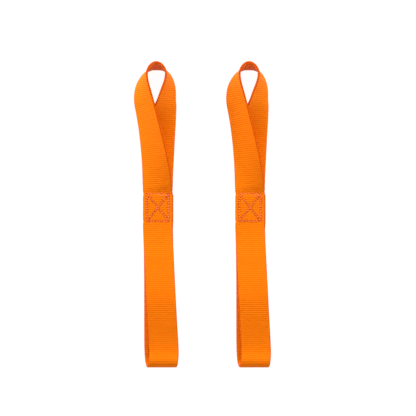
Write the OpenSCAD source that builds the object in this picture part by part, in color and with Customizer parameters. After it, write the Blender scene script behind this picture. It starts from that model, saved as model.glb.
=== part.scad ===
// A pair of loose soft-loop tie-down straps. Each strap is one length of flat ribbed webbing,
// closed into a band, with its two ends lapped and sewn through at a pad. Above the pad is a
// small eye with a half twist, and below it is a long flat loop. Both lie on their backs.

/* [Webbing] */
// Width of the webbing
web_w = 20; // [18:0.5:22]
// Thickness of the webbing
web_t = 1.6; // [1.2:0.1:1.8]

/* [Strap] */
// Distance from the middle of the pad to the top of the eye
eye_l = 98; // [90:0.2:115]
// Distance from the middle of the pad to the end of the long loop
loop_l = 107.8; // [100:0.2:160]
// Distance between the two straps, pad to pad
strap_pitch = 61.7; // [45:0.1:120]

/* [Pad] */
// Length of the sewn pad
pad_l = 20; // [19:0.5:21]
// Distance that the tucked-in end stops short of the pad's upper edge
tail_inset = 1.8; // [0.5:0.1:3]
// Length of webbing left free at each edge of the pad, where the strap creases
crease_l = 3; // [2.6:0.1:4]

/* [Stitching] */
// Width of the stitched box
box_w = 14.4; // [12:0.2:16]
// Height of the stitched box
box_h = 18.4; // [16:0.2:18.6]
// Length of one stitch, hole to hole
stitch_l = 1.9; // [1.7:0.1:2.4]
// Thickness of the thread
thread_d = 0.5; // [0.4:0.05:0.6]

/* [Hidden] */
SIDES = ["left", "right"];
PIECES = [
    "pad_front_ply", "pad_tail_ply", "pad_back_ply",
    "eye_front_leg", "eye_arch", "eye_back_leg",
    "loop_back_ply", "loop_fold", "loop_front_ply",
    "needle_thread", "bobbin_thread"
];

WEBBING = [0.98, 0.47, 0.06];
THREAD = [0.90, 0.36, 0.16];

// Heights of the undersides of the plies in the pad: the lower thread stands out of the back
// ply, so that the pad is carried on it
thread_proud = thread_d / 2;
back_z = thread_proud;
tail_z = back_z + web_t;
front_z = tail_z + web_t;
pad_top = front_z + web_t;

// The eye's centre line from the front of the pad, over the arch and down to the back of the
// pad: across, up, height of the lower edge above the floor, and roll of the webbing about
// its own length, where 0 lies flat and 90 stands on edge
EYE = [
    [0, 10, front_z, 0],
    [-0.1, 13, 3, 5],
    [-0.5, 18, 2.5, 13],
    [-1.1, 25, 2.2, 23],
    [-2.1, 33, 2.1, 30],
    [-3.8, 44, 2.1, 38],
    [-6.3, 57, 2.2, 46],
    [-9.1, 69.5, 2.1, 49],
    [-10, 77.5, 1.2, 58],
    [-9.5, 83.5, 0.3, 71],
    [-7.7, 89, 0, 86],
    [-4.6, 92.5, 0, 97],
    [-0.9, 93.8, 0, 103.5],
    [3.1, 92.5, 0, 97],
    [6.2, 89, 0, 86],
    [7.4, 83.5, 0.1, 73],
    [7, 77.5, 0.4, 62],
    [5.5, 69.5, 0.4, 51],
    [3.2, 61, 0, 29],
    [1.9, 51, 0, 10],
    [1, 36, 0, 2],
    [0.2, 20, 0.1, 0],
    [0, 13, 0.2, 0],
    [0, 10, back_z, 0]
];
// Stations of that list where the front leg starts, the arch starts and ends, and the back
// leg ends
EYE_CUTS = [1, 8, 16, 22];
EYE_TOP = 97;

// The long loop's centre line from the tucked-in end, down the back, round the fold and up
// the front, in the same terms
LOOP = [
    [0, -10, tail_z, 0],
    [0.1, -13, 1.6, 0],
    [0.3, -18, 0.7, 0],
    [0.4, -25, 0.1, 0],
    [0.6, -36, 0, 0],
    [0.7, -52, 0, 0],
    [0.7, -70, 0, 0],
    [0.7, -86, 0, 0],
    [0.9, -95.5, 0, 0],
    [1.3, -101.2, 0.1, 0],
    [2, -104.3, 1.5, 0],
    [2.6, -105.3, 3.8, 0],
    [3.3, -104.3, 6.4, 0],
    [3.8, -101.2, 7.6, 0],
    [4.1, -97.2, 6.3, 0],
    [4, -92, 6, 0],
    [3.5, -83, 7, 0],
    [2.8, -71, 9, 0],
    [2.1, -58, 10.4, 0],
    [1.2, -40, 8, 0],
    [0.5, -26, 5.4, 0],
    [0.2, -18, 4.2, 0],
    [0, -13, 3.6, 0],
    [0, -10, front_z, 0]
];
LOOP_CUTS = [1, 8, 14, 22];
LOOP_END = 106.7;

// Rings of the swept webbing between one station and the next, and sides of the round thread
RINGS = 4;
THREAD_SIDES = 12;

// Share of the box's diagonal that the crossing rows reach, so that they stop short of its corners
CROSS_SHARE = 0.93;

// Half length of the pad and length of its creases that the two lists are drawn with
LIST_PAD = 10;
LIST_CREASE = 3;

// A station with its y stretched to the length that is asked for and its height raised from
// the lower edge to the middle of the webbing
function stretched(s, drawn_l, real_l) =
    let (from_pad = (abs(s[1]) - LIST_PAD) * (real_l - pad_l / 2) / (drawn_l - LIST_PAD))
    [
        s[0],
        sign(s[1]) * (pad_l / 2 + from_pad),
        s[2] + web_w / 2 * sin(s[3]) + web_t / 2 * abs(cos(s[3])),
        s[3]
    ];

// The creases keep their length when the rest is stretched
function on_crease(s) = [s[0], sign(s[1]) * (pad_l / 2 + crease_l), s[2], s[3]];

function path(stations, drawn_l, real_l) = [
    for (s = stations)
        let (p = stretched(s, drawn_l, real_l))
        abs(s[1]) == LIST_PAD + LIST_CREASE ? on_crease(p) : p
];

eye_path = path(EYE, EYE_TOP, eye_l);
loop_path = path(LOOP, LOOP_END, loop_l);

// Point and direction on a smooth curve through the stations, at u from station i to i + 1
function before(p, i) = i > 0 ? p[i - 1] : 2 * p[0] - p[1];
function after(p, i) = i + 2 < len(p) ? p[i + 2] : 2 * p[i + 1] - p[i];
function curve_point(p, i, u) =
    let (
        m1 = (p[i + 1] - before(p, i)) / 2,
        m2 = (after(p, i) - p[i]) / 2
    )
    (2 * pow(u, 3) - 3 * pow(u, 2) + 1) * p[i]
        + (pow(u, 3) - 2 * pow(u, 2) + u) * m1
        + (3 * pow(u, 2) - 2 * pow(u, 3)) * p[i + 1]
        + (pow(u, 3) - pow(u, 2)) * m2;
function curve_slope(p, i, u) =
    let (
        m1 = (p[i + 1] - before(p, i)) / 2,
        m2 = (after(p, i) - p[i]) / 2
    )
    (6 * pow(u, 2) - 6 * u) * (p[i] - p[i + 1])
        + (3 * pow(u, 2) - 4 * u + 1) * m1
        + (3 * pow(u, 2) - 2 * u) * m2;

function xyz(v) = [v[0], v[1], v[2]];
function unit(v) = v / norm(v);

// Direction across the webbing: in the eye it rolls about the line of travel, and in the long
// loop it stays level and square to the strap as the webbing turns over
function across_eye(along, roll) =
    let (
        level = unit([along[1], -along[0], 0]),
        up = cross(level, along)
    )
    cos(roll) * level + sin(roll) * up;
ACROSS_LOOP = [1, 0, 0];

// The four corners of the webbing at one place on a curve
function ring(p, i, u, is_eye) =
    let (
        at = curve_point(p, i, u),
        along = unit(xyz(curve_slope(p, i, u))),
        across = is_eye ? across_eye(along, at[3]) : ACROSS_LOOP,
        face = unit(cross(across, along)),
        w = web_w / 2 * across,
        t = web_t / 2 * face
    )
    [xyz(at) - w - t, xyz(at) + w - t, xyz(at) + w + t, xyz(at) - w + t];

// All corners from station a to station b, ring by ring
function corners(p, a, b, is_eye) = [
    for (i = [a : b - 1])
        for (k = [0 : RINGS - (i < b - 1 ? 1 : 0)])
            for (corner = ring(p, i, k / RINGS, is_eye)) corner
];

module webbing(p, a, b, is_eye) {
    points = corners(p, a, b, is_eye);
    last = len(points) - 4;
    walls = [
        for (r = [0 : 4 : last - 4])
            for (k = [0 : 3])
                let (
                    near = r + k,
                    next = r + (k + 1) % 4
                )
                each [[near, near + 4, next + 4], [near, next + 4, next]]
    ];
    ends = [[0, 1, 2, 3], [last + 3, last + 2, last + 1, last]];
    color(WEBBING) polyhedron(points = points, faces = concat(walls, ends), convexity = 6);
}

module flat_ply(underside, y_low, y_high) {
    color(WEBBING)
        translate([-web_w / 2, y_low, underside])
            cube([web_w, y_high - y_low, web_t]);
}

module pad_front_ply() flat_ply(front_z, -pad_l / 2, pad_l / 2);
module pad_tail_ply() flat_ply(tail_z, -pad_l / 2, pad_l / 2 - tail_inset);
module pad_back_ply() flat_ply(back_z, -pad_l / 2, pad_l / 2);

module eye_front_leg() webbing(eye_path, EYE_CUTS[0], EYE_CUTS[1], true);
module eye_arch() webbing(eye_path, EYE_CUTS[1], EYE_CUTS[2], true);
module eye_back_leg() webbing(eye_path, EYE_CUTS[2], EYE_CUTS[3], true);

module loop_back_ply() webbing(loop_path, LOOP_CUTS[0], LOOP_CUTS[1], false);
module loop_fold() webbing(loop_path, LOOP_CUTS[1], LOOP_CUTS[2], false);
module loop_front_ply() webbing(loop_path, LOOP_CUTS[2], LOOP_CUTS[3], false);

// One stitch lying flat: a short straight piece of thread
module stitch(length) {
    rotate([0, 90, 0])
        cylinder(d = thread_d, h = length, center = true, $fn = THREAD_SIDES);
}

// A straight row of stitches from one point to another, with a needle hole between each two
module stitch_row(from, to) {
    run = to - from;
    count = 2 * round(norm(run) / stitch_l / 2);
    pitch = norm(run) / count;
    hole = thread_d;
    for (k = [0 : count - 1])
        translate(from + run * (k + 0.5) / count)
            rotate([0, 0, atan2(run[1], run[0])])
                stitch(pitch - hole);
}

// The four sides of the box and the two diagonals that cross in it
module box_stitching(height) {
    w = box_w / 2;
    h = box_h / 2;
    color(THREAD)
        translate([0, 0, height]) {
            stitch_row([-w, -h, 0], [w, -h, 0]);
            stitch_row([w, -h, 0], [w, h, 0]);
            stitch_row([w, h, 0], [-w, h, 0]);
            stitch_row([-w, h, 0], [-w, -h, 0]);
            stitch_row([-w, -h, 0] * CROSS_SHARE, [w, h, 0] * CROSS_SHARE);
            stitch_row([-w, h, 0] * CROSS_SHARE, [w, -h, 0] * CROSS_SHARE);
        }
}

module needle_thread() box_stitching(pad_top);
module bobbin_thread() box_stitching(back_z);

// The pair is placed with the middle of its box at the origin
outline = concat(
    corners(eye_path, EYE_CUTS[0], EYE_CUTS[3], true),
    corners(loop_path, LOOP_CUTS[0], LOOP_CUTS[3], false)
);
low = [for (axis = [0, 1]) min([for (p = outline) p[axis]])];
high = [for (axis = [0, 1]) max([for (p = outline) p[axis]])];
pad_x = -(low[0] + high[0]) / 2;
pad_y = -(low[1] + high[1]) / 2;

for (side = SIDES)
    translate([pad_x + (side == "left" ? -1 : 1) * strap_pitch / 2, pad_y, 0]) {
        pad_front_ply();
        pad_tail_ply();
        pad_back_ply();
        eye_front_leg();
        eye_arch();
        eye_back_leg();
        loop_back_ply();
        loop_fold();
        loop_front_ply();
        needle_thread();
        bobbin_thread();
    }
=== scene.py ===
"""A pair of loose soft-loop tie-down straps of bright orange ribbed webbing.

Each strap is one length of flat webbing, sewn to itself at a box-and-cross stitched pad, with a
half-twisted eye above the pad and a long flat loop below it. The webbing bends at the pad's two
edges, so it is made as two pieces that meet in one rib at the pad's lower edge.
"""
import logging
import math
from dataclasses import dataclass, field
from enum import Enum

import bmesh
import bpy
import numpy as np
from mathutils import Matrix, Vector


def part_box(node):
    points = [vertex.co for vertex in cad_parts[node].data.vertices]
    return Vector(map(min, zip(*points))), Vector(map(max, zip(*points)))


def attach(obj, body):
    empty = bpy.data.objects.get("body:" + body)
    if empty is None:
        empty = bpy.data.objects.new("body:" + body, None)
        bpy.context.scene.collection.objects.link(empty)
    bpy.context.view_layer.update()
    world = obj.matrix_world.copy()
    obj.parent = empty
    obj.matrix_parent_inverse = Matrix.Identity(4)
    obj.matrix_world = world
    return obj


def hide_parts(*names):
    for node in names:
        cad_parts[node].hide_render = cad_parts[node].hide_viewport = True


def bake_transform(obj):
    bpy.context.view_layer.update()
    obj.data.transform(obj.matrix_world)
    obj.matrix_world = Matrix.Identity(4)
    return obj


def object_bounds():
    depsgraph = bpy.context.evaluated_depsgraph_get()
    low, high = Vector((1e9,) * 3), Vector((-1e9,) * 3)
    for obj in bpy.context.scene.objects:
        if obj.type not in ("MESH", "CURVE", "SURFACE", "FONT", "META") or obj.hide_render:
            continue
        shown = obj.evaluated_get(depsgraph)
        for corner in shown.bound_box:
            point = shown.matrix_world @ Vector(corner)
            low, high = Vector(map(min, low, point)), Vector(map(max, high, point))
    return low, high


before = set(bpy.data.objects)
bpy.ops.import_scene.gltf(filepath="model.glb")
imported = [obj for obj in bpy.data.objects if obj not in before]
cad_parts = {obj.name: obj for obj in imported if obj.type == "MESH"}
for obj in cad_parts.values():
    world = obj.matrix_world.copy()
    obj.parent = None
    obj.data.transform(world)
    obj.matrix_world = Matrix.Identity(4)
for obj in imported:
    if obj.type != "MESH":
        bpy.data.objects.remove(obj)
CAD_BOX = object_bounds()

log = logging.getLogger("soft_loops")
MM = 0.001
Colour = tuple[float, float, float, float]
Band = tuple[float, float, float, float]

# The eye's centre line, from the front of the pad over the arch to the back of the pad: across,
# up, lift of the lower edge above the floor, and roll about the line of travel in degrees. The
# middle of the pad is at zero, and lengths are in millimetres.
PAD_HALF = 10.0
FRONT_LIFT = 3.45
TAIL_LIFT = 1.85
BACK_LIFT = 0.25
EYE_LINE = (
    (0, 10, FRONT_LIFT, 0), (-0.1, 13, 3, 5), (-0.5, 18, 2.5, 13), (-1.1, 25, 2.2, 23),
    (-2.1, 33, 2.1, 30), (-3.8, 44, 2.1, 38), (-6.3, 57, 2.2, 46), (-9.1, 69.5, 2.1, 49),
    (-10, 77.5, 1.2, 58), (-9.5, 83.5, 0.3, 71), (-7.7, 89, 0, 86), (-4.6, 92.5, 0, 97),
    (-0.9, 93.8, 0, 103.5), (3.1, 92.5, 0, 97), (6.2, 89, 0, 86), (7.4, 83.5, 0.1, 73),
    (7, 77.5, 0.4, 62), (5.5, 69.5, 0.4, 51), (3.2, 61, 0, 29), (1.9, 51, 0, 10),
    (1, 36, 0, 2), (0.2, 20, 0.1, 0), (0, 13, 0.2, 0), (0, 10, BACK_LIFT, 0),
)
# The long loop's centre line in the same terms, from the tucked-in end round the fold to the
# front of the pad.
LOOP_LINE = (
    (0, -10, TAIL_LIFT, 0), (0.1, -13, 1.6, 0), (0.3, -18, 0.7, 0), (0.4, -25, 0.1, 0),
    (0.6, -36, 0, 0), (0.7, -52, 0, 0), (0.7, -70, 0, 0), (0.7, -86, 0, 0),
    (0.9, -95.5, 0, 0), (1.3, -101.2, 0.1, 0), (2, -104.3, 1.5, 0), (2.6, -105.3, 3.8, 0),
    (3.3, -104.3, 6.4, 0), (3.8, -101.2, 7.6, 0), (4.1, -97.2, 6.3, 0), (4, -92, 6, 0),
    (3.5, -83, 7, 0), (2.8, -71, 9, 0), (2.1, -58, 10.4, 0), (1.2, -40, 8, 0),
    (0.5, -26, 5.4, 0), (0.2, -18, 4.2, 0), (0, -13, 3.6, 0), (0, -10, FRONT_LIFT, 0),
)
# Reach of the two lists as they are drawn, and reach of the strap that is made from them.
EYE_DRAWN, EYE_REACH = 97.0, 98.0
LOOP_DRAWN, LOOP_REACH = 106.7, 107.8


class Side(Enum):
    """One of the two straps."""

    LEFT = "left"
    RIGHT = "right"


class Stretch(Enum):
    """The two pieces that a strap's webbing is made in."""

    EYE = "eye"
    LOOP = "loop"


class NodeBench:
    """A material's node tree, with short calls to lay it out."""

    def __init__(self, name: str) -> None:
        """Starts an empty material.

        Args:
            name: The material's name.
        """
        self.material = bpy.data.materials.new(name)
        self.material.use_nodes = True
        self.tree = self.material.node_tree
        self.tree.nodes.clear()
        self.output = self.tree.nodes.new("ShaderNodeOutputMaterial")

    def feed(self, socket: bpy.types.NodeSocket, value: object) -> None:
        """Links a socket to another, or sets its value.

        Args:
            socket: The input.
            value: Another node's output, or a number or colour.
        """
        if isinstance(value, bpy.types.NodeSocket):
            self.tree.links.new(value, socket)
        else:
            socket.default_value = value

    def node(self, kind: str, inputs: dict[str, object] | None = None, **settings: object) -> bpy.types.Node:
        """Adds a node.

        Args:
            kind: The node's type.
            inputs: Values or links for its inputs, by name.
            settings: Values for its own properties.

        Returns:
            The new node.
        """
        made = self.tree.nodes.new(kind)
        for name, value in settings.items():
            setattr(made, name, value)
        for name, value in (inputs or {}).items():
            self.feed(made.inputs[name], value)
        return made

    def math(self, operation: str, *values: object) -> bpy.types.NodeSocket:
        """Works out one sum.

        Args:
            operation: The Math node's operation.
            values: Up to three numbers or links.

        Returns:
            The result.
        """
        made = self.node("ShaderNodeMath", operation=operation)
        for socket, value in zip(made.inputs, values):
            self.feed(socket, value)
        return made.outputs[0]

    def mix(self, share: object, first: object, second: object) -> bpy.types.NodeSocket:
        """Mixes two colours.

        Args:
            share: How much of the second colour shows.
            first: The first colour.
            second: The second colour.

        Returns:
            The mixed colour.
        """
        made = self.node("ShaderNodeMix", data_type="RGBA")
        for index, value in ((0, share), (6, first), (7, second)):
            self.feed(made.inputs[index], value)
        return made.outputs[2]

    def ramp(self, value: object, low: float, high: float) -> bpy.types.NodeSocket:
        """Turns a range of values into 0 to 1 with soft ends.

        Args:
            value: The value.
            low: The value that becomes 0.
            high: The value that becomes 1.

        Returns:
            The result.
        """
        made = self.node("ShaderNodeMapRange", interpolation_type="SMOOTHSTEP")
        for index, number in ((0, value), (1, low), (2, high)):
            self.feed(made.inputs[index], number)
        return made.outputs[0]


@dataclass(frozen=True)
class WebbingFinish:
    """Bright orange polyester webbing, woven with a rib across its width at each weft.

    The pattern follows the cloth: the attribute "cloth" holds the place across and along the
    webbing in millimetres, and a second attribute how much painted shade darkens the needle
    holes and how far a heat-sealed cut end is melted darker.
    """

    rib: float
    half_width: float
    name: str = "orange_webbing"
    colour: Colour = (0.77, 0.170, 0.003, 1.0)
    # Painted shade: the darker orange laid in the rib grooves and the gaps between warp ends, also taking
    # the random weft and fibre tone
    groove: Colour = (0.70, 0.114, 0.001, 1.0)
    bright: Colour = (0.80, 0.208, 0.005, 1.0)
    # Darker edge colour: partly the selvedge's own tone, partly painted shade of the rounded edges
    selvedge_and_edge_shade: Colour = (0.52, 0.052, 0.001, 1.0)
    # Painted shade in the needle holes, and the real darker melt of the heat-sealed cut ends
    hole_shade_and_seal_colour: Colour = (0.50, 0.055, 0.001, 1.0)
    end_width: float = 0.56
    patch_share: float = 0.12
    between_ends_shade_share: float = 0.22
    # How much painted shade darkens the gaps between warp ends
    weft_share: float = 0.10
    streak_share: float = 0.20
    selvedge_and_edge_shade_share: float = 0.85
    relief: float = 0.08

    def material(self) -> bpy.types.Material:
        """Makes the finish.

        Returns:
            The material.
        """
        bench = NodeBench(self.name)
        cloth = bench.node("ShaderNodeAttribute", attribute_name="cloth").outputs["Vector"]
        hole_shade_and_seal = bench.node("ShaderNodeAttribute", attribute_name="hole_shade_and_seal").outputs["Fac"]
        parts = bench.node("ShaderNodeSeparateXYZ", {"Vector": cloth})
        across, along = parts.outputs[0], parts.outputs[1]

        weft = bench.math("DIVIDE", along, self.rib)
        crest = bench.math("ABSOLUTE", bench.math("SINE", bench.math("MULTIPLY", weft, math.pi)))
        # Neighbouring warp ends float over alternate wefts
        end = bench.math("DIVIDE", across, self.end_width)
        parity = bench.math("MULTIPLY", bench.math("FLOOR", weft), 0.5)
        turn = bench.math("MULTIPLY", bench.math("ADD", end, parity), math.pi)
        float_over = bench.math("ABSOLUTE", bench.math("SINE", turn))
        drawn_out = bench.node("ShaderNodeMapping", {"Vector": cloth, "Scale": (7.0, 0.8, 1.0)}).outputs[0]
        fibre = bench.node(
            "ShaderNodeTexNoise", {"Vector": drawn_out, "Scale": 1.0, "Detail": 3.0, "Roughness": 0.6}
        ).outputs["Fac"]
        patch = bench.node(
            "ShaderNodeTexNoise", {"Vector": cloth, "Scale": 0.16, "Detail": 2.0}
        ).outputs["Fac"]

        # Painted shade: the rib grooves are darkened in the colour
        shade = bench.mix(bench.ramp(crest, 0.0, 0.75), self.groove, self.colour)
        faded = bench.math("MULTIPLY", bench.ramp(patch, 0.3, 0.7), self.patch_share)
        warm = bench.mix(faded, shade, self.bright)
        # No two wefts are beaten in quite alike
        pick = bench.node(
            "ShaderNodeTexWhiteNoise", {"W": bench.math("FLOOR", weft)}, noise_dimensions="1D"
        ).outputs["Value"]
        # Painted shade darkens the gaps between the warp ends; the weft picks and fibre streaks add tone
        # that differs at random
        between_ends = bench.math("SUBTRACT", 1.0, bench.ramp(float_over, 0.0, 0.6))
        gap = bench.math("MULTIPLY", between_ends, self.between_ends_shade_share)
        gap = bench.math("ADD", gap, bench.math("MULTIPLY", pick, self.weft_share))
        streak = bench.math("MULTIPLY", bench.ramp(fibre, 0.62, 0.35), self.streak_share)
        woven = bench.mix(bench.math("ADD", gap, streak), warm, self.groove)
        # Both edges darker: partly the selvedge's own tone, partly painted shade where the rounded edge
        # turns away
        from_middle = bench.math("ABSOLUTE", across)
        edge = bench.ramp(from_middle, self.half_width - 0.8, self.half_width - 0.1)
        with_selvedge_and_edge_shade = bench.mix(bench.math("MULTIPLY", edge, self.selvedge_and_edge_shade_share), woven, self.selvedge_and_edge_shade)
        # Painted shade darkens the needle holes; the heat-sealed cut ends are melted darker
        colour = bench.mix(bench.math("MINIMUM", hole_shade_and_seal, 1.0), with_selvedge_and_edge_shade, self.hole_shade_and_seal_colour)

        ends_high, fibre_high = bench.math("MULTIPLY", float_over, 0.7), bench.math("MULTIPLY", fibre, 0.5)
        height = bench.math("ADD", ends_high, fibre_high)
        bump = bench.node(
            "ShaderNodeBump", {"Height": height, "Strength": 0.55, "Distance": self.relief * MM}
        )
        shader = bench.node(
            "ShaderNodeBsdfPrincipled",
            {"Base Color": colour, "Roughness": 0.72, "Specular IOR Level": 0.08,
             "Specular Tint": (1.0, 0.42, 0.10, 1.0), "Sheen Weight": 0.06, "Sheen Roughness": 0.4,
             "Sheen Tint": (1.0, 0.30, 0.03, 1.0), "Normal": bump.outputs[0]},
        )
        bench.feed(bench.output.inputs["Surface"], shader.outputs[0])
        return bench.material


@dataclass(frozen=True)
class ThreadFinish:
    """Salmon polyester sewing thread, twisted from two yarns.

    The attribute "strand" holds the place along and round each stitch.
    """

    name: str = "salmon_thread"
    colour: Colour = (0.84, 0.200, 0.055, 1.0)
    # Painted shade: the darker colour laid in the furrows between the two yarns
    furrow: Colour = (0.62, 0.105, 0.020, 1.0)
    turns: float = 1.6
    relief: float = 0.06

    def material(self) -> bpy.types.Material:
        """Makes the finish.

        Returns:
            The material.
        """
        bench = NodeBench(self.name)
        strand = bench.node("ShaderNodeAttribute", attribute_name="strand").outputs["Vector"]
        parts = bench.node("ShaderNodeSeparateXYZ", {"Vector": strand})
        wound = bench.math("MULTIPLY", parts.outputs[0], self.turns)
        lay = bench.math("ADD", wound, parts.outputs[1])
        yarn = bench.math("ABSOLUTE", bench.math("SINE", bench.math("MULTIPLY", lay, 2 * math.pi)))
        # Painted shade: the furrows between the yarns are darkened in the colour
        colour = bench.mix(bench.ramp(yarn, 0.0, 0.55), self.furrow, self.colour)
        bump = bench.node("ShaderNodeBump", {"Height": yarn, "Strength": 0.7, "Distance": self.relief * MM})
        shader = bench.node(
            "ShaderNodeBsdfPrincipled",
            {"Base Color": colour, "Roughness": 0.5, "Specular IOR Level": 0.2,
             "Specular Tint": (1.0, 0.55, 0.30, 1.0), "Normal": bump.outputs[0]},
        )
        bench.feed(bench.output.inputs["Surface"], shader.outputs[0])
        return bench.material


@dataclass(frozen=True)
class FloorFinish:
    """A plain pale studio floor, a milk-white table that is lit from below."""

    name: str = "pale_floor"
    colour: Colour = (0.08, 0.08, 0.08, 1.0)
    glow: float = 0.97

    def material(self) -> bpy.types.Material:
        """Makes the finish.

        Returns:
            The material.
        """
        bench = NodeBench(self.name)
        shader = bench.node(
            "ShaderNodeBsdfPrincipled",
            {"Base Color": self.colour, "Roughness": 0.9, "Specular IOR Level": 0.1,
             "Emission Color": (1.0, 1.0, 1.0, 1.0), "Emission Strength": self.glow},
        )
        bench.feed(bench.output.inputs["Surface"], shader.outputs[0])
        return bench.material


@dataclass(frozen=True)
class BoxStitch:
    """The box with two diagonals that is sewn through the pad, in millimetres from its middle.

    The seam sinks into the webbing along each row, and deeper at each needle hole. A stitch is an
    arch of thread, flattened on the webbing and thinner towards its two ends.
    """

    width: float = 14.4
    height: float = 18.4
    pitch: float = 1.9
    inner: float = 0.93
    thread: float = 0.5
    gap: float = 0.34
    rise: float = 0.5
    proud: float = 0.2
    taper: float = 0.28
    flatness: float = 0.85
    spread: float = 1.12
    sides: int = 8
    bends: int = 6
    tack_inset: float = 1.15
    tack_count: int = 3
    sink: float = 0.16
    sink_reach: float = 0.85
    hole_depth: float = 0.34
    hole_reach: float = 0.42

    def rows(self) -> list[tuple[np.ndarray, np.ndarray]]:
        """Lists the rows of stitches.

        Returns:
            The two ends of each row.
        """
        w, h = self.width / 2, self.height / 2
        corners = [np.array(c) for c in ((-w, -h), (w, -h), (w, h), (-w, h))]
        box = [(corners[i], corners[(i + 1) % 4]) for i in range(4)]
        cross = [(corners[i] * self.inner, corners[i + 2] * self.inner) for i in range(2)]
        return box + cross

    def tack(self) -> tuple[np.ndarray, np.ndarray]:
        """Places the short row that locks the seam, inside the box's upper right corner.

        Returns:
            The two ends of the row.
        """
        up = self.height / 2 - self.tack_inset
        return np.array((0.4, up)), np.array((self.width / 2 - 0.6, up))

    def count(self, row: tuple[np.ndarray, np.ndarray]) -> int:
        """Counts the stitches in a row, always even so that the diagonals cross in a hole.

        Args:
            row: The two ends of the row.

        Returns:
            The number of stitches.
        """
        return 2 * round(float(np.linalg.norm(row[1] - row[0])) / self.pitch / 2)

    def holes(self) -> np.ndarray:
        """Lists every needle hole.

        Returns:
            One row of x and y for each hole.
        """
        return np.array([
            start + (end - start) * k / self.count((start, end))
            for start, end in self.rows() for k in range(self.count((start, end)) + 1)
        ])

    def furrow(self, places: np.ndarray) -> np.ndarray:
        """How deep the rows press the webbing in.

        Args:
            places: x and y on the pad.

        Returns:
            The depth at each place.
        """
        nearest = np.full(len(places), np.inf)
        for start, end in self.rows():
            run = end - start
            share = np.clip((places - start) @ run / (run @ run), 0, 1)
            away = places - start - share[:, None] * run
            nearest = np.minimum(nearest, np.linalg.norm(away, axis=1))
        return self.sink * np.exp(-(nearest / self.sink_reach) ** 2)

    def punched(self, places: np.ndarray) -> np.ndarray:
        """Tells how close each place is to a needle hole.

        Args:
            places: x and y on the pad.

        Returns:
            1 in a hole, and towards 0 further off.
        """
        gaps = np.linalg.norm(places[:, None] - self.holes()[None], axis=2).min(axis=1)
        return np.exp(-(gaps / self.hole_reach) ** 2)

    def spin_stitch(self, body: bmesh.types.BMesh) -> None:
        """Spins one stitch, an arch of thread whose two ends dive into the webbing.

        Args:
            body: The empty mesh to make it in, with the stitch along X and the webbing's surface
                at Z zero.
        """
        reach = (self.pitch - self.gap) / 2
        bow = (reach**2 + self.rise**2) / (2 * self.rise)
        half = math.asin(reach / bow)
        strand = body.verts.layers.float_vector.new("strand")
        circle = bmesh.ops.create_circle(body, segments=self.sides, radius=self.thread / 2)["verts"]
        stand = Matrix.Rotation(-half, 4, "Y") @ Matrix.Translation((0, 0, bow))
        stand @= Matrix.Rotation(math.pi / 2, 4, "Y")
        bmesh.ops.transform(body, matrix=stand, verts=circle)
        ring = circle + list(body.edges)
        bmesh.ops.spin(
            body, geom=ring, cent=(0, 0, 0), axis=(0, 1, 0), angle=2 * half, steps=self.bends
        )
        bmesh.ops.holes_fill(body, edges=[e for e in body.edges if e.is_boundary], sides=0)
        for v in body.verts:
            turn = math.atan2(v.co.x, v.co.z)
            spoke = math.hypot(v.co.x, v.co.z) - bow
            slim = 1 - self.taper * (turn / half) ** 2
            v[strand] = (turn / half / 2, math.atan2(v.co.y, spoke) / (2 * math.pi), 0)
            radial = bow + spoke * slim * self.flatness
            v.co.y *= slim * self.spread
            v.co.x, v.co.z = radial * math.sin(turn), radial * math.cos(turn) - bow + self.proud
        bmesh.ops.recalc_face_normals(body, faces=body.faces)


@dataclass
class Route:
    """The line that a stretch of webbing follows, and the way that it faces, in millimetres."""

    line: np.ndarray
    across: np.ndarray
    face: np.ndarray
    length: float

    def at(self, distance: np.ndarray) -> tuple[np.ndarray, np.ndarray, np.ndarray]:
        """Finds places on the line.

        Args:
            distance: How far along the line each is.

        Returns:
            Each place, its direction across the webbing and the way that it faces.
        """
        steps = np.linspace(0, self.length, len(self.line))
        found = [
            np.stack([np.interp(distance, steps, values[:, axis]) for axis in range(3)], axis=1)
            for values in (self.line, self.across, self.face)
        ]
        found[1] /= np.linalg.norm(found[1], axis=1)[:, None]
        found[2] /= np.linalg.norm(found[2], axis=1)[:, None]
        return found[0], found[1], found[2]


def curve_through(stations: np.ndarray, per_span: int = 40) -> np.ndarray:
    """Draws a smooth curve through stations.

    Args:
        stations: One row of values for each station.
        per_span: Steps from one station to the next.

    Returns:
        One row of values for each step.
    """
    held = np.vstack([2 * stations[0] - stations[1], stations, 2 * stations[-1] - stations[-2]])
    u = np.linspace(0, 1, per_span, endpoint=False)[:, None]
    spans = []
    for before, start, end, after in zip(held, held[1:], held[2:], held[3:]):
        leave, arrive = (end - before) / 2, (after - start) / 2
        spans.append(
            (2 * u**3 - 3 * u**2 + 1) * start + (u**3 - 2 * u**2 + u) * leave
            + (3 * u**2 - 2 * u**3) * end + (u**3 - u**2) * arrive
        )
    return np.vstack([*spans, stations[-1:]])


def evenly(line: np.ndarray, step: float) -> tuple[np.ndarray, float]:
    """Spreads the rows of a line evenly along its length.

    Args:
        line: Rows whose first three values are a place.
        step: The distance wanted between two rows.

    Returns:
        The new rows, and the line's length.
    """
    gone = np.concatenate([[0], np.cumsum(np.linalg.norm(np.diff(line[:, :3], axis=0), axis=1))])
    wanted = np.linspace(0, gone[-1], max(2, round(gone[-1] / step)))
    return np.stack([np.interp(wanted, gone, line[:, k]) for k in range(line.shape[1])], axis=1), gone[-1]


def soft_step(value: np.ndarray, low: float, high: float) -> np.ndarray:
    """Rises smoothly from 0 to 1.

    Args:
        value: The places to look at.
        low: Where the rise starts.
        high: Where the rise ends.

    Returns:
        The height at each place.
    """
    share = np.clip((value - low) / (high - low), 0, 1)
    return share * share * (3 - 2 * share)


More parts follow.
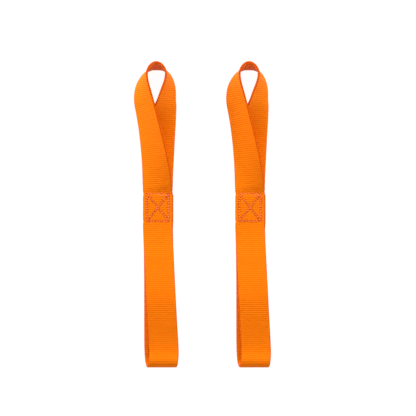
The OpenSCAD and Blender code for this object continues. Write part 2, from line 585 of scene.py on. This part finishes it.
def soft_band(value: np.ndarray, band: Band) -> np.ndarray:
    """Rises smoothly from 0 to 1 and falls back.

    Args:
        value: The places to look at.
        band: Where the rise starts and ends, and where the fall starts and ends.

    Returns:
        The height at each place.
    """
    start, full, fade, end = band
    return soft_step(value, start, full) * (1 - soft_step(value, fade, end))


def soft_bump(value: np.ndarray, height: float, middle: float, reach: float) -> np.ndarray:
    """Rises smoothly round one place.

    Args:
        value: The places to look at.
        height: How high the bump is.
        middle: Where it is.
        reach: How far it spreads.

    Returns:
        The height at each place.
    """
    return height * np.exp(-((value - middle) / reach) ** 2)


def flat_grid(name: str, columns: int, rings: int) -> tuple[bpy.types.Mesh, np.ndarray, np.ndarray]:
    """Makes a flat grid that is ready to be wrapped.

    Args:
        name: The mesh's name.
        columns: Faces across the grid.
        rings: Faces along the grid.

    Returns:
        The mesh, and the column and the ring of each of its vertices.
    """
    sheet = bmesh.new()
    bmesh.ops.create_grid(sheet, x_segments=columns, y_segments=rings, size=0.5)
    mesh = bpy.data.meshes.new(name)
    sheet.to_mesh(mesh)
    sheet.free()
    flat = np.empty(len(mesh.vertices) * 3, np.float32)
    mesh.vertices.foreach_get("co", flat)
    flat = flat.reshape(-1, 3)
    column = np.rint((flat[:, 0] + 0.5) * columns).astype(int)
    ring = np.rint((flat[:, 1] + 0.5) * rings).astype(int)
    return mesh, column, ring


def close_up(mesh: bpy.types.Mesh) -> None:
    """Joins the wrapped grid's seam, closes its two ends and turns its faces outwards.

    Args:
        mesh: The wrapped grid.
    """
    body = bmesh.new()
    body.from_mesh(mesh)
    bmesh.ops.remove_doubles(body, verts=body.verts, dist=1e-6)
    for wall in body.faces:
        wall.smooth = True
    bmesh.ops.holes_fill(body, edges=[e for e in body.edges if e.is_boundary], sides=0)
    bmesh.ops.recalc_face_normals(body, faces=body.faces)
    body.to_mesh(mesh)
    body.free()


@dataclass(frozen=True)
class Webbing:
    """The flat ribbed webbing that both straps are sewn from, in millimetres."""

    width: float
    thickness: float
    rib: float = 1.38
    rib_depth: float = 0.19
    edge_depth: float = 0.26
    edge_round: float = 0.62
    face_columns: int = 48
    back_columns: int = 28
    edge_columns: int = 7
    rings_per_rib: int = 6
    crest_power: float = 0.85
    sealed: float = 1.3
    seal_squeeze: float = 0.3

    def section(self) -> tuple[np.ndarray, np.ndarray]:
        """Draws the outline of the cut webbing, from the middle of its back once round.

        Returns:
            The outline's points as across and outwards of the middle, and their outward directions.
        """
        flat, half = self.width / 2 - self.edge_round, self.thickness / 2
        back = np.linspace(0, flat, self.back_columns // 2, endpoint=False)
        turn = np.linspace(-math.pi / 2, math.pi / 2, self.edge_columns, endpoint=False)
        face = np.linspace(flat, -flat, self.face_columns, endpoint=False)
        edge = np.stack([flat + self.edge_round * np.cos(turn), half * np.sin(turn)], axis=1)
        edge_out = np.stack([np.cos(turn) / self.edge_round, np.sin(turn) / half], axis=1)
        edge_out /= np.linalg.norm(edge_out, axis=1)[:, None]
        points = np.vstack([
            np.stack([back, np.full_like(back, -half)], axis=1), edge,
            np.stack([face, np.full_like(face, half)], axis=1), -edge,
            np.stack([back - flat, np.full_like(back, -half)], axis=1), [[0, -half]],
        ])
        out = np.vstack([
            np.tile([0.0, -1.0], (len(back), 1)), edge_out, np.tile([0.0, 1.0], (len(face), 1)),
            -edge_out, np.tile([0.0, -1.0], (len(back) + 1, 1)),
        ])
        return points, out

    def ribs_in(self, length: float) -> int:
        """Counts the whole ribs in a length.

        Args:
            length: The length of webbing.

        Returns:
            The number of ribs.
        """
        return round(length / self.rib)


@dataclass
class Strap:
    """One strap: the webbing in two pieces, and the thread that shows on each side of its pad.

    Lengths are in millimetres, and places along the strap are told by their distance above the
    pad's middle. The webbing settles over a short smoothing everywhere, and over a longer slack
    where it is free. It dips where the seam draws it down at the pad's upper edge, and it is
    pinched at both edges: by how much, where, and over what reach. Where the back leg and the back
    ply meet the pad, they shift a little to the right.
    """

    side: Side
    webbing: Webbing
    stitching: BoxStitch
    crease: float = 3.0
    step: float = 0.1
    smoothing: float = 1.3
    slack: float = 6.0
    eye_free: Band = (11.0, 17.0, 60.0, 72.0)
    loop_free: Band = (-90.0, -76.0, -34.0, -20.0)
    top_dip: float = 0.5
    back_dip_share: float = 0.6
    dip_band: Band = (7.9, 9.2, 9.4, 14.0)
    top_pinch: tuple[float, float, float] = (0.35, 9.1, 1.2)
    low_pinch: tuple[float, float, float] = (0.25, -9.4, 0.9)
    tail_end: float = 8.2
    under_shift: float = 0.45
    back_leg_meets: tuple[float, float] = (7.0, 12.0)
    back_ply_meets: tuple[float, float] = (-16.0, -9.0)
    bed: float = 0.1
    bend_start: float = 9.6
    bend_length: float = 4.5
    pieces: dict[str, bpy.types.Object] = field(default_factory=dict)

    def middle(self) -> Vector:
        """Finds the middle of the pad.

        Returns:
            The middle on the floor, in the frame's metres.
        """
        low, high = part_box(f"{self.side.value}_pad_front_ply")
        return Vector(((low.x + high.x) / 2, (low.y + high.y) / 2, 0))

    def stations(self, line: tuple, drawn: float, reach: float) -> np.ndarray:
        """Stretches a list of stations to the strap's real reach and lifts them to mid-thickness.

        Args:
            line: The stations as they are drawn.
            drawn: The reach that they are drawn for.
            reach: The strap's real reach.

        Returns:
            Across, up, height and roll in radians of each station.
        """
        rows = np.array(line, float)
        roll = np.radians(rows[:, 3])
        from_pad = (np.abs(rows[:, 1]) - PAD_HALF) * (reach - PAD_HALF) / (drawn - PAD_HALF)
        creased = np.isclose(np.abs(rows[:, 1]), PAD_HALF + self.crease)
        from_pad[creased] = self.crease
        rows[:, 1] = np.sign(rows[:, 1]) * (PAD_HALF + from_pad)
        rows[:, 2] += self.webbing.width / 2 * np.sin(roll)
        rows[:, 2] += self.webbing.thickness / 2 * np.abs(np.cos(roll))
        rows[:, 3] = roll
        return rows

    def settle(self, line: np.ndarray, smoothing: float) -> np.ndarray:
        """Takes the corners out of a line, as stiff webbing does.

        Args:
            line: Evenly spaced rows.
            smoothing: The length that a corner is spread over.

        Returns:
            The softened rows, with the same two ends.
        """
        step = float(np.linalg.norm(line[1, :3] - line[0, :3]))
        reach = round(3 * smoothing / step)
        weights = np.exp(-0.5 * (np.arange(-reach, reach + 1) * step / smoothing) ** 2)
        weights /= weights.sum()
        head = 2 * line[0] - line[reach:0:-1]
        foot = 2 * line[-1] - line[-2:-reach - 2:-1]
        held = np.vstack([head, line, foot])
        return np.stack([np.convolve(held[:, k], weights, "valid") for k in range(line.shape[1])], axis=1)

    def route(self, stretch: Stretch) -> Route:
        """Works out the line of one stretch of webbing.

        Args:
            stretch: Which piece.

        Returns:
            The line from one end of the piece to the other.
        """
        half = self.webbing.thickness / 2
        if stretch is Stretch.EYE:
            curve = curve_through(self.stations(EYE_LINE, EYE_DRAWN, EYE_REACH))
            first = [[0, -PAD_HALF, FRONT_LIFT + half, 0]]
            last = [[0, -PAD_HALF, BACK_LIFT + half, 0]]
        else:
            curve = curve_through(self.stations(LOOP_LINE, LOOP_DRAWN, LOOP_REACH))
            first = [[0, self.tail_end, TAIL_LIFT + half, 0]]
            last = np.empty((0, 4))
        line, _ = evenly(np.vstack([first, curve, last]), self.step)
        line = self.settle(line, self.smoothing)
        free = soft_band(line[:, 1:2], self.eye_free if stretch is Stretch.EYE else self.loop_free)
        line += free * (self.settle(line, self.slack) - line)
        early = np.arange(len(line)) < len(line) / 2
        up = line[:, 1]
        if stretch is Stretch.EYE:
            dip = self.top_dip * soft_band(up, self.dip_band)
            line[:, 2] += np.where(early, -dip, self.back_dip_share * dip)
            shifted = self.under_shift * (1 - soft_step(up, *self.back_leg_meets))
            line[:, 0] += np.where(early, 0, shifted)
        else:
            shifted = self.under_shift * soft_step(up, *self.back_ply_meets)
            line[:, 0] += np.where(early, shifted, 0)
        line, length = evenly(line, self.step)
        along = np.gradient(line[:, :3], axis=0)
        along /= np.linalg.norm(along, axis=1)[:, None]
        if stretch is Stretch.EYE:
            level = np.stack([along[:, 1], -along[:, 0], np.zeros(len(along))], axis=1)
            level /= np.linalg.norm(level, axis=1)[:, None]
            rise = np.cross(level, along)
            across = np.cos(line[:, 3:]) * level + np.sin(line[:, 3:]) * rise
        else:
            across = np.tile([1.0, 0.0, 0.0], (len(along), 1))
        return Route(line[:, :3], across, np.cross(across, along), length)

    def weave(self, stretch: Stretch) -> bpy.types.Mesh:
        """Wraps a grid round the webbing's outline along its line.

        Args:
            stretch: Which piece.

        Returns:
            The closed mesh, in metres from the middle of the pad.
        """
        web = self.webbing
        path = self.route(stretch)
        outline, outward = web.section()
        columns, ribs = len(outline) - 1, web.ribs_in(path.length)
        rings = ribs * web.rings_per_rib
        mesh, column, ring = flat_grid(f"{stretch.value}_webbing", columns, rings)

        gone = np.linspace(0, path.length, rings + 1)
        place, across, face = path.at(gone)
        wave = np.abs(np.sin(np.arange(rings + 1) * math.pi / web.rings_per_rib))
        crest = wave ** web.crest_power
        from_cut = path.length - gone if stretch is Stretch.EYE else gone
        seal = 1 - soft_step(from_cut, 0, web.sealed)
        early = gone < path.length / 2
        y = place[:, 1]
        narrow = soft_bump(y, *self.top_pinch) + soft_bump(y, *self.low_pinch)
        if stretch is Stretch.LOOP:
            narrow[early] = 0
        point, out = outline[column], outward[column]
        groove = (1 - crest[ring]) * (1 - seal[ring])
        deep = (web.rib_depth + (web.edge_depth - web.rib_depth) * out[:, 0] ** 2) * groove
        wide = point[:, 0] * (1 - narrow[ring] / (web.width / 2)) - out[:, 0] * deep
        thick = point[:, 1] * (1 - web.seal_squeeze * seal[ring]) - out[:, 1] * deep

        hole_shade_and_seal = np.zeros(len(ring))
        on_pad = (np.abs(y[ring]) < PAD_HALF + 2) & (stretch is Stretch.EYE)
        outer = on_pad & np.where(early[ring], out[:, 1] > 0.5, out[:, 1] < -0.5)
        x = place[ring[outer], 0] + across[ring[outer], 0] * wide[outer]
        spots = np.stack([x, y[ring[outer]]], axis=1)
        punched = self.stitching.punched(spots)
        sunk = self.stitching.furrow(spots) + self.stitching.hole_depth * punched
        thick[outer] -= np.sign(out[outer, 1]) * sunk
        # Painted shade: the colour darkens at the needle holes, and the sealed ends melt darker
        hole_shade_and_seal[outer] = 0.95 * punched
        hole_shade_and_seal = np.maximum(hole_shade_and_seal, 0.6 * seal[ring])

        made = place[ring] + across[ring] * wide[:, None] + face[ring] * thick[:, None]
        mesh.vertices.foreach_set("co", (made * MM).astype(np.float32).ravel())
        woven = gone[ring] * web.rib * ribs / path.length
        cloth = np.stack([point[:, 0], woven, np.zeros(len(ring))], axis=1)
        mesh.attributes.new("cloth", "FLOAT_VECTOR", "POINT").data.foreach_set(
            "vector", cloth.astype(np.float32).ravel()
        )
        mesh.attributes.new("hole_shade_and_seal", "FLOAT", "POINT").data.foreach_set(
            "value", hole_shade_and_seal.astype(np.float32)
        )
        close_up(mesh)
        log.info("%s: %.1f mm long, %d ribs, %d faces", mesh.name, path.length, ribs, len(mesh.polygons))
        return mesh

    def sew(self, front: bool) -> bpy.types.Mesh:
        """Sews the box and the diagonals.

        Args:
            front: True for the needle thread on the front, False for the bobbin thread behind.

        Returns:
            The mesh of all stitches, in metres from the middle of the pad.
        """
        body = bmesh.new()
        self.stitching.spin_stitch(body)
        pattern_verts = list(body.verts)
        pattern = pattern_verts + list(body.edges) + list(body.faces)
        rows = self.stitching.rows()
        counts = [self.stitching.count(row) for row in rows]
        if front:
            rows.append(self.stitching.tack())
            counts.append(self.stitching.tack_count)
        for (start, end), count in zip(rows, counts):
            run = end - start
            scale = float(np.linalg.norm(run)) / count / self.stitching.pitch
            for k in range(count):
                spot = start + run * (k + 0.5) / count
                dip = self.top_dip * float(soft_band(spot[1:], self.dip_band)[0])
                if front:
                    shift, height = 0.0, FRONT_LIFT + self.webbing.thickness - dip - self.bed
                else:
                    shift, height = self.under_shift, BACK_LIFT + self.back_dip_share * dip + self.bed
                lay = Matrix.Translation((spot[0] + shift, spot[1], height))
                lay @= Matrix.Rotation(math.atan2(run[1], run[0]), 4, "Z")
                lay @= Matrix.Rotation(0 if front else math.pi, 4, "X")
                lay @= Matrix.Diagonal((scale, 1, 1, 1))
                copy = bmesh.ops.duplicate(body, geom=pattern)["geom"]
                copied = [part for part in copy if isinstance(part, bmesh.types.BMVert)]
                bmesh.ops.transform(body, matrix=lay, verts=copied)
        bmesh.ops.delete(body, geom=pattern_verts, context="VERTS")
        bmesh.ops.scale(body, vec=(MM, MM, MM), verts=body.verts)
        for wall in body.faces:
            wall.smooth = len(wall.verts) == 4
        mesh = bpy.data.meshes.new("front_stitches" if front else "back_stitches")
        body.to_mesh(mesh)
        body.free()
        log.info("%s: %d faces", mesh.name, len(mesh.polygons))
        return mesh

    def place(self, name: str, mesh: bpy.types.Mesh, material: bpy.types.Material) -> bpy.types.Object:
        """Puts a mesh where the strap is, as a piece with its finish.

        Args:
            name: The piece's name without its side.
            mesh: The mesh, in metres from the middle of the pad.
            material: Its finish.

        Returns:
            The piece.
        """
        own = mesh.copy()
        own.transform(Matrix.Translation(self.middle()))
        own.materials.append(material)
        piece = bpy.data.objects.new(f"{self.side.value}_{name}", own)
        bpy.context.scene.collection.objects.link(piece)
        self.pieces[name] = piece
        log.info("made %s", piece.name)
        return piece

    def join(self, lengths: dict[Stretch, float]) -> None:
        """Hands the pieces to the frame: the stitches go to the pad's body, and the nodes that the pieces
        stand for are hidden.

        Args:
            lengths: The cut length of each stretch of webbing, in millimetres; not used.
        """
        side, middle = self.side.value, self.middle()
        for stitches, thread in (("front_stitches", "needle_thread"), ("back_stitches", "bobbin_thread")):
            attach(self.pieces[stitches], f"{side}_pad")
            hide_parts(f"{side}_{thread}")
        eye, loop = self.pieces["eye_webbing"], self.pieces["loop_webbing"]
        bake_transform(eye)
        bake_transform(loop)
        stands_for = {
            "eye_webbing": ("pad_front_ply", "pad_back_ply", "eye_front_leg", "eye_arch", "eye_back_leg"),
            "loop_webbing": ("pad_tail_ply", "loop_back_ply", "loop_fold", "loop_front_ply"),
        }
        for name, nodes in stands_for.items():
            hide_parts(*(f"{side}_{node}" for node in nodes))


@dataclass(frozen=True)
class Softbox:
    """A square light that faces the object, in metres and watts."""

    name: str
    place: tuple[float, float, float]
    side: float
    power: float

    def hang(self) -> None:
        """Hangs the softbox."""
        lamp = bpy.data.lights.new(self.name, "AREA")
        lamp.size = self.side
        lamp.energy = self.power
        hung = bpy.data.objects.new(self.name, lamp)
        hung.location = self.place
        hung.rotation_euler = (-Vector(self.place)).to_track_quat("-Z", "Y").to_euler()
        bpy.context.scene.collection.objects.link(hung)


@dataclass(frozen=True)
class Studio:
    """The floor, the soft lights and the camera straight above, in metres.

    The camera looks down at a place that is measured from the middle of the left pad.
    """

    camera_height: float = 2.5
    seen_width: float = 0.2787
    aim_from_pad: tuple[float, float] = (0.03357, -0.00033)
    floor_size: float = 8.0
    sky: float = 0.05
    softboxes: tuple[Softbox, ...] = (
        Softbox("back_softbox", (-0.1, 1.95, 0.9), 1.0, 63.0),
        Softbox("left_softbox", (-2.0, 0.1, 0.6), 1.0, 52.0),
        Softbox("right_softbox", (1.9, 0.1, 1.0), 1.2, 42.0),
        Softbox("front_softbox", (0.1, -1.9, 1.0), 1.2, 13.0),
    )

    def floor(self) -> None:
        """Lays the floor under the object."""
        body = bmesh.new()
        bmesh.ops.create_grid(body, x_segments=1, y_segments=1, size=self.floor_size / 2)
        mesh = bpy.data.meshes.new("floor")
        body.to_mesh(mesh)
        body.free()
        mesh.transform(Matrix.Translation((0, 0, CAD_BOX[0].z)))
        mesh.materials.append(FloorFinish().material())
        floor = bpy.data.objects.new("floor", mesh)
        bpy.context.scene.collection.objects.link(floor)

    def camera(self) -> None:
        """Puts the camera straight above the object, with up in the picture along +Y."""
        lens = bpy.data.cameras.new("camera")
        lens.sensor_width = 36.0
        lens.lens = lens.sensor_width * self.camera_height / self.seen_width
        stand = bpy.data.objects.new("camera", lens)
        low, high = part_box("left_pad_front_ply")
        middle, (right, up) = (low + high) / 2, self.aim_from_pad
        stand.location = (middle.x + right, middle.y + up, self.camera_height)
        bpy.context.scene.collection.objects.link(stand)
        bpy.context.scene.camera = stand

    def build(self) -> None:
        """Sets up the whole studio."""
        self.camera()
        self.floor()
        for softbox in self.softboxes:
            softbox.hang()
        world = bpy.data.worlds.new("studio")
        world.use_nodes = True
        sky = world.node_tree.nodes["Background"]
        sky.inputs["Color"].default_value = (1.0, 1.0, 1.0, 1.0)
        sky.inputs["Strength"].default_value = self.sky
        bpy.context.scene.world = world
        bpy.context.scene.view_settings.view_transform = "Standard"
        log.info("studio ready")


def main() -> None:
    """Builds the studio and both straps."""
    logging.basicConfig(level=logging.INFO, format="%(message)s")
    Studio().build()
    low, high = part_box("left_pad_front_ply")
    webbing = Webbing(width=(high.x - low.x) / MM, thickness=(high.z - low.z) / MM)
    straps = [Strap(side, webbing, BoxStitch()) for side in Side]
    pattern = straps[0]
    meshes = {
        "eye_webbing": pattern.weave(Stretch.EYE),
        "loop_webbing": pattern.weave(Stretch.LOOP),
        "front_stitches": pattern.sew(front=True),
        "back_stitches": pattern.sew(front=False),
    }
    lengths = {stretch: pattern.route(stretch).length for stretch in Stretch}
    orange = WebbingFinish(webbing.rib, webbing.width / 2).material()
    salmon = ThreadFinish().material()
    for strap in straps:
        for name, mesh in meshes.items():
            strap.place(name, mesh, orange if name.endswith("webbing") else salmon)
        strap.join(lengths)


if __name__ == "__main__":
    main()
